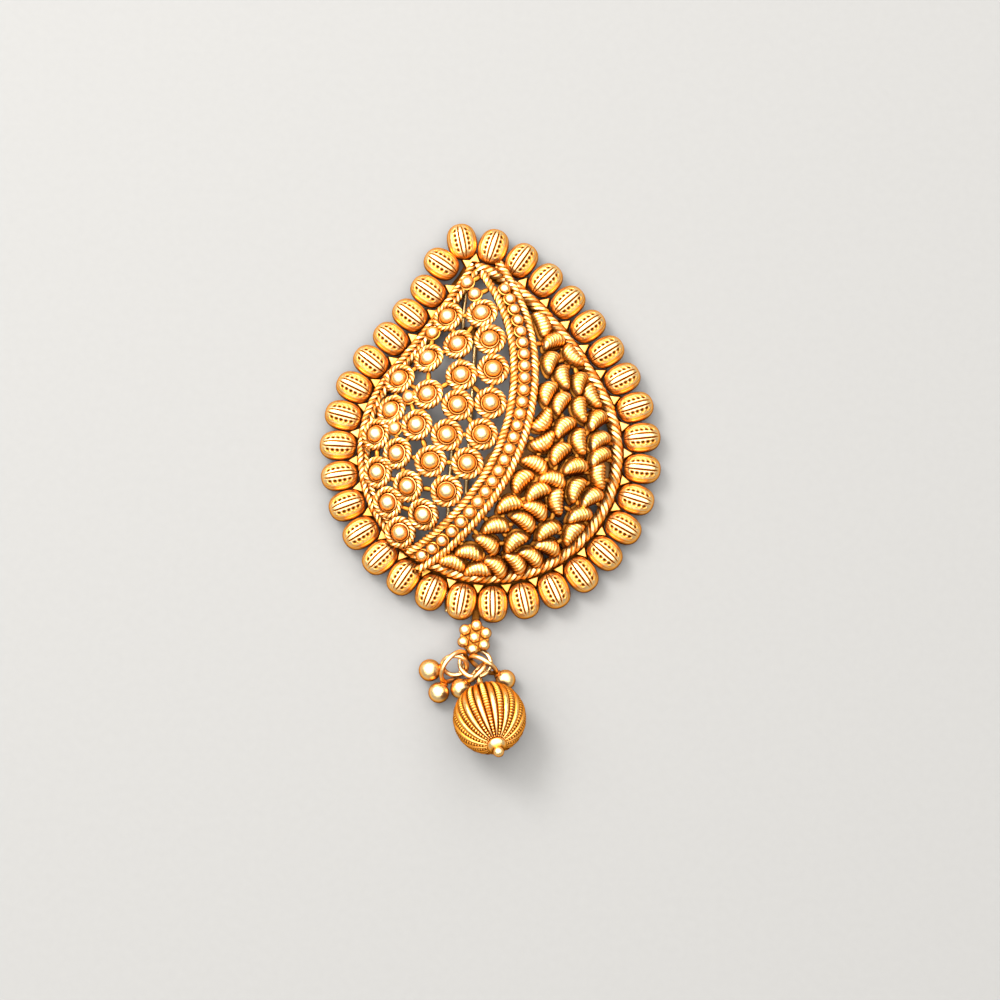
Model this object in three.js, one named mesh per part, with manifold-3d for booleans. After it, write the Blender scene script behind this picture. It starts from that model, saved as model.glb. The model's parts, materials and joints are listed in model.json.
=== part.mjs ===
// Hair brooch: a leaf-shaped ornament for a hair bun, lying flat with its drops laid out below it.
// Ribbed beads ring a flat frame. A twisted border rope lies inside them, and within it two pierced
// domed fields, ringed balls on one side and ribbed beans on the other, meet at a diagonal band.
// Millimetres, +Z up, +Y from the drops to the leaf's tip; the origin is the middle of the underside.
import * as THREE from 'three';
import { mergeVertices } from 'three/addons/utils/BufferGeometryUtils.js';
import Module from 'manifold-3d';

const wasm = await Module();
wasm.setup();

// ---------------------------------------------------------------- driving dimensions

const GAP = 0.15; // clearance between pieces that are soldered face to face

// The leaf's outline is the line that the rim beads are strung on: a crown arc from the tip,
// a long shoulder, a round body and a slightly hollow flank. Angles are seen from each arc's centre.
const LEAF = {
  bodyRadius: 21.4,
  shoulderRadius: 53.5,
  crownRadius: 15.5,
  tipAngle: 88.5,
  crownAngle: 50,
  shoulderAngle: 25.9,
  flankAngle: 140.3,
  flankHollow: 0.85,
};

// Drift is how far the beads half-way round are shifted along the outline from even spacing. The
// bead at the tip stands nearly upright, and the last one before it stands a little further out.
const RIM_BEAD = {
  count: 33,
  width: 4.1,
  length: 5.3,
  height: 3.5,
  drift: 0.85,
  tipLean: 11,
  lastOut: 0.7,
  sides: 10,
  rings: 4,
};
const SAMPLES_PER_BEAD = 12; // points along the outline from one bead to the next

const STRIP = { bottom: 0.75, top: 1.25, underBead: 2.85, betweenBeads: 2, inner: 4.5, innerSamples: 50 };
const BORDER_ROPE = { inset: 3.65, radius: 0.8, z: 2.2, samples: 132, steps: 60, sides: 6 };

const DOME = { edgeZ: 3.2, edgeInset: 4, rise: 4.5, run: 10, smoothing: 2.2 };

const BAND = { centre: new THREE.Vector2(-24.6, 10.3), radius: 29.3, from: 27, to: -60.5 };
const BAND_BALL = { count: 26, lift: 0.35, sides: 8, neck: 0.4, radius: 0.75, bulge: 0.32 };
const BAND_ROPE = { offset: 1.42, radius: 0.55, lift: 0.25, from: 33, to: -62, steps: 24, sides: 6 };

// The ringed balls stand in rows round the band's centre: distance from it, then their angles.
const FLOWER_ROWS = [
  { radius: 25.0, angles: [20.5, 11, 1, -10, -20.5, -31, -42, -52, -61] },
  { radius: 20.6, angles: [25, 12, -1, -13, -25.5, -37.5, -50, -59.5] },
  { radius: 16.2, angles: [9, -10.5, -27, -43.5, -56.5] },
  { radius: 11.9, angles: [-1, -24, -43] },
];
const SMALL_BALL_ROWS = [
  { radius: 25.4, angles: [32.5, 27.5] },
  { radius: 17.8, angles: [21] },
  { radius: 13.8, angles: [-13.5, -33.5] },
];
// A ringed ball from its underside to its top: rope ring, valley and ball.
const FLOWER = {
  sides: 10,
  reach: 2.3,
  profile: [[0, -0.5], [2.5, -0.3], [1.85, 0.4], [1.15, 0.2], [0.95, 0.95], [0, 1.35]],
};
const SMALL_BALL = { radius: 0.9, sides: 10, rings: 4, lift: 0.3, reach: 0.8 };

// The beans follow the band in rows too: how far each stands from its row's line, its angle round
// the band's centre, and the way its head points.
const BEAN_ROWS = [
  { radius: 33, beans: [
    [-0.4, 13.5, -65], [0.7, 8.5, 30], [0, 3, 65], [-0.3, -5, 65], [-0.4, -12, 235],
    [0.4, -17, 215], [0.4, -23, -25], [-0.2, -28, 50], [0, -34.5, 20], [0.3, -40.5, 10],
    [0.9, -44.5, -40], [0, -49, -10], [-0.5, -53.5, -15],
  ] },
  { radius: 35.8, beans: [
    [0.5, 5, 130], [-1.1, -0.5, 95], [-1.2, -7, 60], [-0.2, -12.5, 45], [0.2, -18.5, 50],
    [0.6, -24.5, -10], [-0.4, -28.5, 30], [0.5, -32, -30], [0, -35.5, -35], [0.8, -40, 40],
    [1, -46.5, -45], [-0.3, -50, 5],
  ] },
  { radius: 38.4, beans: [
    [-1.4, -1.5, 70], [0.5, -4, 115], [-1, -7.5, 95], [-0.2, -14.5, 95], [0.2, -20, 15],
    [-0.1, -28, 95], [0.8, -34, 30], [1, -40, -35], [-0.1, -43, -50],
  ] },
  { radius: 41.3, beans: [
    [-1.5, -9, 45], [-0.6, -13, 35], [0, -16, 35], [0.8, -19.5, 95], [-1.4, -24, 60],
    [0.9, -24, 30], [0.5, -28, 15], [0.9, -31.5, 50], [-0.9, -36.5, -20],
  ] },
];
// A bean from its underside to its back, for a round bean of radius 1: flange, side and back.
const BEAN = {
  length: 3.3,
  width: 2.15,
  taper: 0.3,
  curl: 0.14,
  sides: 8,
  reach: 1.6,
  profile: [[0, -0.45], [1.22, -0.35], [1, 0.1], [0.8, 0.85], [0, 1.1]],
};
const SOLDER = { width: 0.7, thickness: 0.4 };

const PIN = {
  radius: 0.25,
  z: 0.35,
  sides: 5,
  steps: 22,
  route: [
    [-4, -18.5], [-3.4, -4.8], [-3.2, 0.2], [-2.1, 14.3], [-2.2, 23.5], [-3, 25.9],
    [-3.7, 23.5], [-4.1, 15], [-5.6, 0], [-6.1, -9], [-6.1, -22.2],
  ],
};
const BARREL = { radius: 1.05, length: 2.1, x: -2.9, y: 17.1, sides: 10 };
const PLATE = {
  x: 2.3,
  y: -2.6,
  radius: 3.8,
  inset: 3.9,
  top: STRIP.bottom - GAP,
  thickness: 0.5,
  arcSteps: 6,
};

const WIRE = { radius: 0.26, sides: 5 }; // the jump rings' wire
// Seven balls on a disc: one in the middle and six round it.
const CLUSTER = {
  x: -2.2,
  y: -26.1,
  pitch: 1.7,
  turn: 21.3,
  ballRadius: 0.75,
  ballZ: 2.2,
  sides: 10,
  rings: 4,
};
const CLUSTER_DISC = { radius: 2.1, bottom: 1.55, top: 1.95, sides: 8 };
const TAB = { afterBead: 17, width: 1.1, bottom: 0.1, top: 0.5, reach: 6.6, leg: 0.4 };
const BAIL_LOOP = { radius: 0.78, x: -2.1, y: -27.65, z: 1.1, steps: 12 };
// The main ring hangs in the bail's loop, with its far side raised.
const MAIN_RING = { radius: 2.13, tilt: 20, x: BAIL_LOOP.x, y: BAIL_LOOP.y, z: 1.05, steps: 18 };
// The faceted shell is a little larger than the round ball, so that both take up the same room.
const MELON = { x: -0.1, y: -37.6, radius: 5.1, shell: 5.15, turn: 14, lift: 37, sides: 18, rings: 10 };
// The main ring pulls the melon's loop up a little, out of line with the finial.
const MELON_LOOP = { radius: 1.3, roll: 83, sink: 0.05, pull: 9.5, steps: 14 };
// From the melon's skin outwards: a round collar and then a smaller tip.
const FINIAL = {
  sides: 10,
  profile: [
    [0, 0.2], [1.3, 0.02], [1.4, 0.3], [1.25, 0.65], [0.75, 0.95], [0.76, 1.6], [0.5, 2], [0, 2.15],
  ],
};

// Each small drop: its ball, the way from the ball to its ring, the ring's size and how it is turned.
const NECK = { radius: 0.45, length: 0.35, sides: 6 };
const DROP = { sides: 10, rings: 6, ringSteps: 12 };
const BALL_DROPS = [
  { x: -8.4, y: -30.6, radius: 1.55, turn: 9.5, lift: 12, roll: 44.5, ring: 1.7 },
  { x: -7.15, y: -33.7, radius: 1.45, turn: 59, lift: 15, roll: 63, ring: 2.4 },
  { x: -4.15, y: -33.15, radius: 1.4, turn: 42.5, lift: 20, roll: 104, ring: 1.74 },
  { x: 2.1, y: -31.9, radius: 1.4, turn: 147.5, lift: 14, roll: 102.5, ring: 2.04 },
];

const GOLD = { color: 0xf0b24e, roughness: 0.28, metalness: 1 };
const OLD_GOLD = { color: 0xd8903a, roughness: 0.38, metalness: 1 };
const BROWN_GOLD = { color: 0xb07a3a, roughness: 0.45, metalness: 1 };

// ---------------------------------------------------------------- small helpers

const radians = THREE.MathUtils.degToRad;

function polar(radius, degrees, centre = new THREE.Vector2()) {
  const arm = new THREE.Vector2(Math.cos(radians(degrees)), Math.sin(radians(degrees)));
  return arm.multiplyScalar(radius).add(centre);
}

function direction(turn, lift) {
  const flat = polar(Math.cos(radians(lift)), turn);
  return new THREE.Vector3(flat.x, flat.y, Math.sin(radians(lift)));
}

function solid(geometry) {
  const bare = geometry.clone();
  bare.deleteAttribute('normal');
  bare.deleteAttribute('uv');
  const merged = mergeVertices(bare, 1e-4);
  const corners = merged.index.array;
  const faces = [];
  for (let i = 0; i < corners.length; i += 3) {
    const [a, b, c] = corners.slice(i, i + 3);
    if (a !== b && b !== c && c !== a) faces.push(a, b, c);
  }
  return new wasm.Manifold(new wasm.Mesh({
    numProp: 3,
    vertProperties: new Float32Array(merged.attributes.position.array),
    triVerts: new Uint32Array(faces),
  }));
}

function join(geometries) {
  return geometries.map(solid).reduce((whole, part) => whole.add(part));
}

function shell(manifold) {
  const mesh = manifold.getMesh();
  const geometry = new THREE.BufferGeometry();
  geometry.setAttribute('position', new THREE.BufferAttribute(mesh.vertProperties, 3));
  geometry.setIndex(new THREE.BufferAttribute(mesh.triVerts, 1));
  geometry.computeVertexNormals();
  return geometry;
}

function piece(name, geometry, finish = GOLD) {
  const mesh = new THREE.Mesh(geometry, new THREE.MeshStandardMaterial(finish));
  mesh.name = name;
  return mesh;
}

function turned(profile, sides) {
  const points = profile.map(([radius, height]) => new THREE.Vector2(radius, height));
  return new THREE.LatheGeometry(points, sides).rotateX(Math.PI / 2);
}

function rod(curve, radius, sides, steps) {
  const section = new THREE.Shape(
    Array.from({ length: sides }, (_, i) => polar(radius, (360 * i) / sides)),
  );
  return new THREE.ExtrudeGeometry(section, { steps, extrudePath: curve });
}

function ring(radius, steps) {
  return new THREE.TorusGeometry(radius, WIRE.radius, WIRE.sides, steps);
}

// ---------------------------------------------------------------- the leaf's outline

function leafPath() {
  const shoulder = polar(LEAF.bodyRadius - LEAF.shoulderRadius, LEAF.shoulderAngle);
  const crown = polar(LEAF.shoulderRadius - LEAF.crownRadius, LEAF.crownAngle, shoulder);
  const arcs = [
    [crown, LEAF.crownRadius, LEAF.tipAngle, LEAF.crownAngle],
    [shoulder, LEAF.shoulderRadius, LEAF.crownAngle, LEAF.shoulderAngle],
    [new THREE.Vector2(), LEAF.bodyRadius, LEAF.shoulderAngle, LEAF.flankAngle - 360],
  ];
  const path = new THREE.Path();
  for (const [centre, radius, from, to] of arcs) {
    path.absarc(centre.x, centre.y, radius, radians(from), radians(to), true);
  }
  const tip = polar(LEAF.crownRadius, LEAF.tipAngle, crown);
  const foot = path.currentPoint.clone();
  const along = tip.clone().sub(foot).normalize();
  const bend = tip.clone().add(foot).multiplyScalar(0.5);
  path.quadraticCurveTo(
    bend.x + along.y * LEAF.flankHollow,
    bend.y - along.x * LEAF.flankHollow,
    tip.x,
    tip.y,
  );
  return path;
}

const OUTLINE_SAMPLES = RIM_BEAD.count * SAMPLES_PER_BEAD;
const leaf = leafPath();
const leafLength = leaf.getLength();
const outline = leaf.getSpacedPoints(OUTLINE_SAMPLES).slice(0, -1);

// A point on the outline a given length from the tip, with the direction that points out of the leaf.
function onOutline(length) {
  const step = 0.002; // share of the outline on each side that the direction is taken from
  const share = ((length / leafLength) % 1 + 1) % 1;
  const ahead = leaf.getPointAt((share + step) % 1);
  const behind = leaf.getPointAt((share - step + 1) % 1);
  const along = ahead.sub(behind).normalize();
  return { point: leaf.getPointAt(share), out: new THREE.Vector2(-along.y, along.x) };
}

function insetOf(x, y) {
  return Math.min(...outline.map((point) => Math.hypot(point.x - x, point.y - y)));
}

// Whether a point that was set in from one side is as far in from every other side too.
function clearOf(point, depth) {
  const tolerance = 0.1;
  return insetOf(point.x, point.y) > depth - tolerance;
}

// The outline drawn again further in. Near the tip, points that would cross the other side are
// left out.
function insetLoop(depth, samples) {
  const loop = [];
  for (let i = 0; i < samples; i += 1) {
    const { point, out } = onOutline((leafLength * i) / samples);
    const inner = point.clone().addScaledVector(out, -depth);
    if (clearOf(inner, depth)) loop.push(inner);
  }
  return loop;
}

// ---------------------------------------------------------------- rim beads, frame and border rope

function beadLength(i) {
  const share = i / RIM_BEAD.count;
  return share * leafLength + RIM_BEAD.drift * Math.sin(Math.PI * share);
}

function beadOut(i) {
  return i === RIM_BEAD.count - 1 ? RIM_BEAD.lastOut : 0;
}

function rimBeads() {
  const form = new THREE.SphereGeometry(0.5, RIM_BEAD.sides, RIM_BEAD.rings)
    .scale(RIM_BEAD.width, RIM_BEAD.length, RIM_BEAD.height);
  return Array.from({ length: RIM_BEAD.count }, (_, i) => {
    const { point, out } = onOutline(beadLength(i));
    const bead = piece(`rim_bead_${String(i + 1).padStart(2, '0')}`, form);
    const place = point.clone().addScaledVector(out, beadOut(i));
    bead.position.set(place.x, place.y, RIM_BEAD.height / 2);
    bead.rotation.z = i === 0 ? radians(RIM_BEAD.tipLean) : out.angle() - Math.PI / 2;
    return bead;
  });
}

// The frame's outer edge steps in under each bead and out between two beads.
function frame() {
  const loop = [];
  for (let i = 0; i < RIM_BEAD.count; i += 1) {
    for (const [half, depth] of [STRIP.underBead - beadOut(i), STRIP.betweenBeads].entries()) {
      const { point, out } = onOutline(beadLength(i + half / 2));
      const edge = point.clone().addScaledVector(out, -depth);
      if (clearOf(edge, depth)) loop.push(edge);
    }
  }
  const strip = new THREE.Shape(loop);
  strip.holes.push(new THREE.Path(insetLoop(STRIP.inner, STRIP.innerSamples).reverse()));
  const geometry = new THREE.ExtrudeGeometry(strip, {
    depth: STRIP.top - STRIP.bottom,
    bevelEnabled: false,
  });
  return piece('frame', geometry.translate(0, 0, STRIP.bottom));
}

function borderRopeTube(radius, sides) {
  const line = insetLoop(BORDER_ROPE.inset, BORDER_ROPE.samples);
  const points = line.map(({ x, y }) => new THREE.Vector3(x, y, BORDER_ROPE.z));
  const curve = new THREE.CatmullRomCurve3(points, true);
  return new THREE.TubeGeometry(curve, BORDER_ROPE.steps, radius, sides, true);
}

// ---------------------------------------------------------------- the dome

function riseAt(x, y) {
  const climb = THREE.MathUtils.clamp((insetOf(x, y) - DOME.edgeInset) / DOME.run, 0, 1);
  return DOME.rise * Math.sin((climb * Math.PI) / 2);
}

// The dome climbs from the border and is level in the middle. Its height is averaged over a small
// hexagon, which rounds the ridge below the tip.
function domePoint(x, y) {
  const hexagon = [0, 60, 120, 180, 240, 300].map((angle) => polar(DOME.smoothing, angle));
  const total = hexagon.reduce((sum, step) => sum + riseAt(x + step.x, y + step.y), riseAt(x, y));
  return new THREE.Vector3(x, y, DOME.edgeZ + total / (hexagon.length + 1));
}

function domeNormal(x, y) {
  const step = 0.4;
  const alongX = domePoint(x + step, y).sub(domePoint(x - step, y));
  const alongY = domePoint(x, y + step).sub(domePoint(x, y - step));
  return alongX.cross(alongY).normalize();
}

// Sets a form that was made upright at the origin on the dome, spun round its own axis first.
function seat(geometry, place, spin = 0, lift = 0) {
  const normal = domeNormal(place.x, place.y);
  const tilt = new THREE.Quaternion().setFromUnitVectors(new THREE.Vector3(0, 0, 1), normal);
  const foot = domePoint(place.x, place.y).addScaledVector(normal, lift);
  return geometry.rotateZ(radians(spin)).applyQuaternion(tilt).translate(foot.x, foot.y, foot.z);
}

function domeCurve(offset, lift, from, to) {
  const steps = 40;
  const points = Array.from({ length: steps + 1 }, (_, i) => {
    const angle = from + ((to - from) * i) / steps;
    const { x, y } = polar(BAND.radius + offset, angle, BAND.centre);
    return domePoint(x, y).addScaledVector(domeNormal(x, y), lift);
  });
  return new THREE.CatmullRomCurve3(points);
}

// ---------------------------------------------------------------- band

function bandRopeTube(side, radius) {
  const curve = domeCurve(side * BAND_ROPE.offset, BAND_ROPE.lift, BAND_ROPE.from, BAND_ROPE.to);
  return rod(curve, radius, BAND_ROPE.sides, BAND_ROPE.steps);
}

// The row of balls is a beaded wire, turned straight and then bent along the band.
function bandBalls() {
  const line = domeCurve(0, BAND_BALL.lift, BAND.from, BAND.to);
  const length = line.getLength();
  const pitch = length / BAND_BALL.count;
  const profile = [[0, 0]];
  for (let i = 0; i < BAND_BALL.count; i += 1) {
    const middle = (i + 0.5) * pitch;
    const shoulder = BAND_BALL.bulge * pitch;
    profile.push([BAND_BALL.neck, i * pitch], [BAND_BALL.radius, middle - shoulder / 2]);
    profile.push([BAND_BALL.radius, middle + shoulder / 2]);
  }
  profile.push([BAND_BALL.neck, length], [0, length]);
  return bend(turned(profile, BAND_BALL.sides), line);
}

// Moves a form that was made round the Z axis so that this axis follows a curve on the dome.
function bend(geometry, curve) {
  const corners = geometry.attributes.position;
  const length = curve.getLength();
  const corner = new THREE.Vector3();
  for (let i = 0; i < corners.count; i += 1) {
    corner.fromBufferAttribute(corners, i);
    const share = THREE.MathUtils.clamp(corner.z / length, 0, 1);
    const point = curve.getPointAt(share);
    const up = domeNormal(point.x, point.y);
    const side = curve.getTangentAt(share).cross(up).normalize();
    point.addScaledVector(up, corner.x).addScaledVector(side, corner.y);
    corners.setXYZ(i, point.x, point.y, point.z);
  }
  return geometry;
}

// ---------------------------------------------------------------- the two pierced fields

// The places of a table's rows, each with how far a form that stands there reaches at least.
function rowPlaces(rows, reach) {
  return rows.flatMap(({ radius, angles }) => (
    angles.map((angle) => ({ at: polar(radius, angle, BAND.centre), reach }))
  ));
}

// A solder bar from each place to the nearest one before it, where the two don't touch.
function solderBars(places) {
  const gap = (a, b) => a.at.distanceTo(b.at) - a.reach - b.reach;
  return places.slice(1).flatMap((place, i) => {
    const near = places.slice(0, i + 1).reduce((best, other) => (
      gap(other, place) < gap(best, place) ? other : best
    ));
    if (gap(near, place) < 0) return [];
    const start = domePoint(place.at.x, place.at.y);
    const end = domePoint(near.at.x, near.at.y);
    const bar = new THREE.BoxGeometry(start.distanceTo(end), SOLDER.width, SOLDER.thickness);
    const way = end.clone().sub(start).normalize();
    const turn = new THREE.Quaternion().setFromUnitVectors(new THREE.Vector3(1, 0, 0), way);
    const middle = start.add(end).multiplyScalar(0.5);
    return bar.applyQuaternion(turn).translate(middle.x, middle.y, middle.z - SOLDER.thickness / 2);
  });
}

// What the ropes need for themselves, with the clearance round them.
function ropeRoom() {
  return join([
    borderRopeTube(BORDER_ROPE.radius + GAP, BORDER_ROPE.sides),
    bandRopeTube(-1, BAND_ROPE.radius + GAP),
    bandRopeTube(1, BAND_ROPE.radius + GAP),
  ]);
}

function flowerField() {
  const flowers = rowPlaces(FLOWER_ROWS, FLOWER.reach);
  const balls = rowPlaces(SMALL_BALL_ROWS, SMALL_BALL.reach);
  const ball = new THREE.SphereGeometry(SMALL_BALL.radius, SMALL_BALL.sides, SMALL_BALL.rings);
  const forms = [
    ...flowers.map(({ at }) => seat(turned(FLOWER.profile, FLOWER.sides), at)),
    ...balls.map(({ at }) => seat(ball.clone(), at, 0, SMALL_BALL.lift)),
    ...solderBars([...flowers, ...balls]),
  ];
  return join(forms).subtract(ropeRoom());
}

// A bean is a turned button drawn out along X, narrowed towards its tail and curled sideways.
function beanForm() {
  const bean = turned(BEAN.profile, BEAN.sides).scale(BEAN.length / 2, BEAN.width / 2, 1);
  const corners = bean.attributes.position;
  for (let i = 0; i < corners.count; i += 1) {
    const along = corners.getX(i) / (BEAN.length / 2);
    const width = corners.getY(i) * (1 + BEAN.taper * along);
    corners.setY(i, width + BEAN.curl * BEAN.length * (along * along - 0.5));
  }
  return bean;
}

function beanField() {
  const beans = BEAN_ROWS.flatMap((row) => row.beans.map(([offset, angle, lean]) => (
    { at: polar(row.radius + offset, angle, BAND.centre), lean, reach: BEAN.reach }
  )));
  const forms = beans.map(({ at, lean }) => seat(beanForm(), at, lean));
  return join([...forms, ...solderBars(beans)]).subtract(ropeRoom());
}

// ---------------------------------------------------------------- pin and plate behind

function hairPin() {
  const route = PIN.route.map(([x, y]) => new THREE.Vector3(x, y, PIN.z));
  const prongs = rod(new THREE.CatmullRomCurve3(route), PIN.radius, PIN.sides, PIN.steps);
  const barrel = new THREE.CylinderGeometry(BARREL.radius, BARREL.radius, BARREL.length, BARREL.sides)
    .translate(BARREL.x, BARREL.y, BARREL.radius + PIN.z - PIN.radius);
  return join([prongs, barrel]);
}

// The plate lies across the back. Its right end is under the frame and follows the outline.
function backPlate() {
  const reach = LEAF.bodyRadius - PLATE.inset;
  const top = Math.asin((PLATE.y + PLATE.radius) / reach);
  const bottom = Math.asin((PLATE.y - PLATE.radius) / reach);
  const shape = new THREE.Shape();
  shape.absarc(0, 0, reach, top, bottom, true);
  shape.absarc(PLATE.x, PLATE.y, PLATE.radius, -Math.PI / 2, (-3 * Math.PI) / 2, true);
  const geometry = new THREE.ExtrudeGeometry(shape, {
    depth: PLATE.thickness,
    bevelEnabled: false,
    curveSegments: PLATE.arcSteps,
  });
  return geometry.translate(0, 0, PLATE.top - PLATE.thickness);
}

// ---------------------------------------------------------------- drops

// Turns a form made with its length along +X to a direction, after rolling it round that length.
function aim(geometry, way, roll = 0) {
  const level = new THREE.Vector3(-way.y, way.x, 0).normalize();
  const above = way.clone().cross(level);
  const basis = new THREE.Matrix4().makeBasis(way, level, above);
  return geometry.rotateX(radians(roll)).applyMatrix4(basis);
}

function dropBail() {
  const centre = new THREE.Vector2(CLUSTER.x, CLUSTER.y);
  const places = [centre];
  for (let i = 0; i < 6; i += 1) places.push(polar(CLUSTER.pitch, CLUSTER.turn + 60 * i, centre));
  const ball = new THREE.SphereGeometry(CLUSTER.ballRadius, CLUSTER.sides, CLUSTER.rings)
    .rotateX(Math.PI / 2);
  const balls = places.map(({ x, y }) => ball.clone().translate(x, y, CLUSTER.ballZ));
  const { radius, bottom, top, sides } = CLUSTER_DISC;
  const disc = new THREE.CylinderGeometry(radius, radius, top - bottom, sides)
    .rotateX(Math.PI / 2)
    .translate(centre.x, centre.y, (bottom + top) / 2);
  const loop = ring(BAIL_LOOP.radius, BAIL_LOOP.steps)
    .rotateY(Math.PI / 2)
    .translate(BAIL_LOOP.x, BAIL_LOOP.y, BAIL_LOOP.z);
  return join([disc, ...balls, loop, ...bailTab()]);
}

// The bail's tab steps down behind the rim and runs under the frame, between two beads.
function bailTab() {
  const { point, out } = onOutline(beadLength(TAB.afterBead + 0.5));
  const outerEnd = RIM_BEAD.length / 2 + 2 * GAP + TAB.leg;
  const foot = new THREE.BoxGeometry(TAB.reach, TAB.width, TAB.top - TAB.bottom)
    .translate(outerEnd - TAB.reach / 2, 0, (TAB.top + TAB.bottom) / 2);
  const legHeight = CLUSTER_DISC.top - TAB.bottom;
  const leg = new THREE.BoxGeometry(TAB.leg, TAB.width, legHeight)
    .translate(outerEnd - TAB.leg / 2, 0, TAB.bottom + legHeight / 2);
  return [foot, leg].map((box) => box.rotateZ(out.angle()).translate(point.x, point.y, 0));
}

function mainRing() {
  const way = direction(-90, MAIN_RING.tilt);
  const form = aim(ring(MAIN_RING.radius, MAIN_RING.steps), way);
  const centre = new THREE.Vector3(MAIN_RING.x, MAIN_RING.y, MAIN_RING.z)
    .addScaledVector(way, MAIN_RING.radius);
  return form.translate(centre.x, centre.y, centre.z);
}

// A ball, a short neck and the drop's own ring, made along +X from the ball's centre.
function ballDrop({ x, y, radius, turn, lift, roll, ring: ringRadius }) {
  const neckEnd = radius + NECK.length;
  const parts = [
    new THREE.SphereGeometry(radius, DROP.sides, DROP.rings),
    new THREE.CylinderGeometry(NECK.radius, NECK.radius, NECK.length * 2, NECK.sides)
      .rotateZ(Math.PI / 2)
      .translate(neckEnd - NECK.length / 2, 0, 0),
    ring(ringRadius, DROP.ringSteps).rotateX(radians(roll)).translate(neckEnd + ringRadius, 0, 0),
  ];
  const way = direction(turn, lift);
  return join(parts.map((part) => aim(part, way).translate(x, y, radius)));
}

// The melon lies on its side with its tip raised, its loop end towards the main ring.
function melonBall() {
  const ball = new THREE.SphereGeometry(MELON.shell, MELON.sides, MELON.rings).rotateZ(-Math.PI / 2);
  const loop = ring(MELON_LOOP.radius, MELON_LOOP.steps)
    .rotateX(radians(MELON_LOOP.roll))
    .translate(MELON.radius + MELON_LOOP.radius - MELON_LOOP.sink, 0, 0);
  const aimed = [
    aim(ball, direction(MELON.turn + 90, -MELON.lift)),
    aim(loop, direction(MELON.turn + 90, MELON_LOOP.pull - MELON.lift)),
  ];
  return join(aimed.map((part) => part.translate(MELON.x, MELON.y, MELON.radius)));
}

function melonFinial() {
  const way = direction(MELON.turn - 90, MELON.lift);
  const form = turned(FINIAL.profile, FINIAL.sides).rotateY(Math.PI / 2).translate(MELON.radius, 0, 0);
  return aim(form, way).translate(MELON.x, MELON.y, MELON.radius);
}

// ---------------------------------------------------------------- assembly

const brooch = new THREE.Group();
brooch.add(
  ...rimBeads(),
  frame(),
  piece('border_rope', borderRopeTube(BORDER_ROPE.radius, BORDER_ROPE.sides)),
  piece('flower_field', shell(flowerField())),
  piece('bean_field', shell(beanField())),
  piece('band_rope_inner', bandRopeTube(-1, BAND_ROPE.radius)),
  piece('band_rope_outer', bandRopeTube(1, BAND_ROPE.radius)),
  piece('band_beads', bandBalls()),
  piece('hair_pin', shell(hairPin()), BROWN_GOLD),
  piece('back_plate', backPlate(), BROWN_GOLD),
  piece('drop_bail', shell(dropBail())),
  piece('main_ring', mainRing()),
  ...BALL_DROPS.map((drop, i) => piece(`ball_drop_${i + 1}`, shell(ballDrop(drop)))),
  piece('melon_ball', shell(melonBall()), OLD_GOLD),
  piece('melon_finial', melonFinial(), OLD_GOLD),
);

const box = new THREE.Box3().setFromObject(brooch, true);
const middle = box.getCenter(new THREE.Vector3());
brooch.position.set(-middle.x, -middle.y, -box.min.z);

export default brooch;
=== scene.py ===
# %% [markdown]
# # A leaf-shaped hair brooch in gold
# The brooch is soldered up from small parts: ribbed oval beads round a flat frame, twisted wire
# ropes, ringed balls on the left and ribbed beans on the right, a band of balls between them, and
# a bunch of ball drops on jump rings. The solids from CAD give every piece its place and size.
# This lesson makes the fine shape of each piece round those solids and then its finish.
#
# The first lines load the solids.

# %% Load the solids
import json
import math
from bisect import bisect

import bmesh
import bpy
from mathutils import Matrix, Vector
from mathutils.kdtree import KDTree

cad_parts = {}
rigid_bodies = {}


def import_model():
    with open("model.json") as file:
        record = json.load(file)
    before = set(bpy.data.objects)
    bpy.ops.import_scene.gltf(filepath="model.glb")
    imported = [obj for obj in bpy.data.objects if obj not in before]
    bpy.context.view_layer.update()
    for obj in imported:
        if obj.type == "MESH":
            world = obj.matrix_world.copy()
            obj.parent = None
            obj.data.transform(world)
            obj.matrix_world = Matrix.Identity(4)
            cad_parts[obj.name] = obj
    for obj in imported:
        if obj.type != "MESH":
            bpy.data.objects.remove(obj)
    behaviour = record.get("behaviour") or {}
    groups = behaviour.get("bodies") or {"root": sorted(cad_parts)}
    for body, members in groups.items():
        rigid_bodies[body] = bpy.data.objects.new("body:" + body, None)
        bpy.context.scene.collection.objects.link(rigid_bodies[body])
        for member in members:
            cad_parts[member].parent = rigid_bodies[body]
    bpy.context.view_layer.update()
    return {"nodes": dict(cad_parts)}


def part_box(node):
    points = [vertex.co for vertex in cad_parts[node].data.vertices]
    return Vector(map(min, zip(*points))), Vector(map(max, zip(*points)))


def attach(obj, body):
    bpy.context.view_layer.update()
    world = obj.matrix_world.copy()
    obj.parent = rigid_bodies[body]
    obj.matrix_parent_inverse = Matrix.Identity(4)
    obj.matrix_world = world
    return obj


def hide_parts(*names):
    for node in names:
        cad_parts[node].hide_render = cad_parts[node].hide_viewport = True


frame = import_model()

# %% [markdown]
# ## Working in millimetres round the leaf's middle
# A jeweller measures such a piece in millimetres from the middle of its round body, so the forms
# are made that way too. One matrix then takes each finished form to metres and to its place. The
# plate on the back has straight edges at known distances, so its box says where the middle is.

# %% From millimetres to the part's frame
MM = 0.001
PLATE_LEFT, PLATE_FOOT, PLATE_UNDERSIDE = -1.5, -6.4, 0.1

plate_corner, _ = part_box("back_plate")
body_middle = plate_corner - Vector((PLATE_LEFT, PLATE_FOOT, PLATE_UNDERSIDE)) * MM
to_part = Matrix.Translation(body_middle) @ Matrix.Scale(MM, 4)
print("middle of the round body:", [round(v, 6) for v in body_middle])

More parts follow.
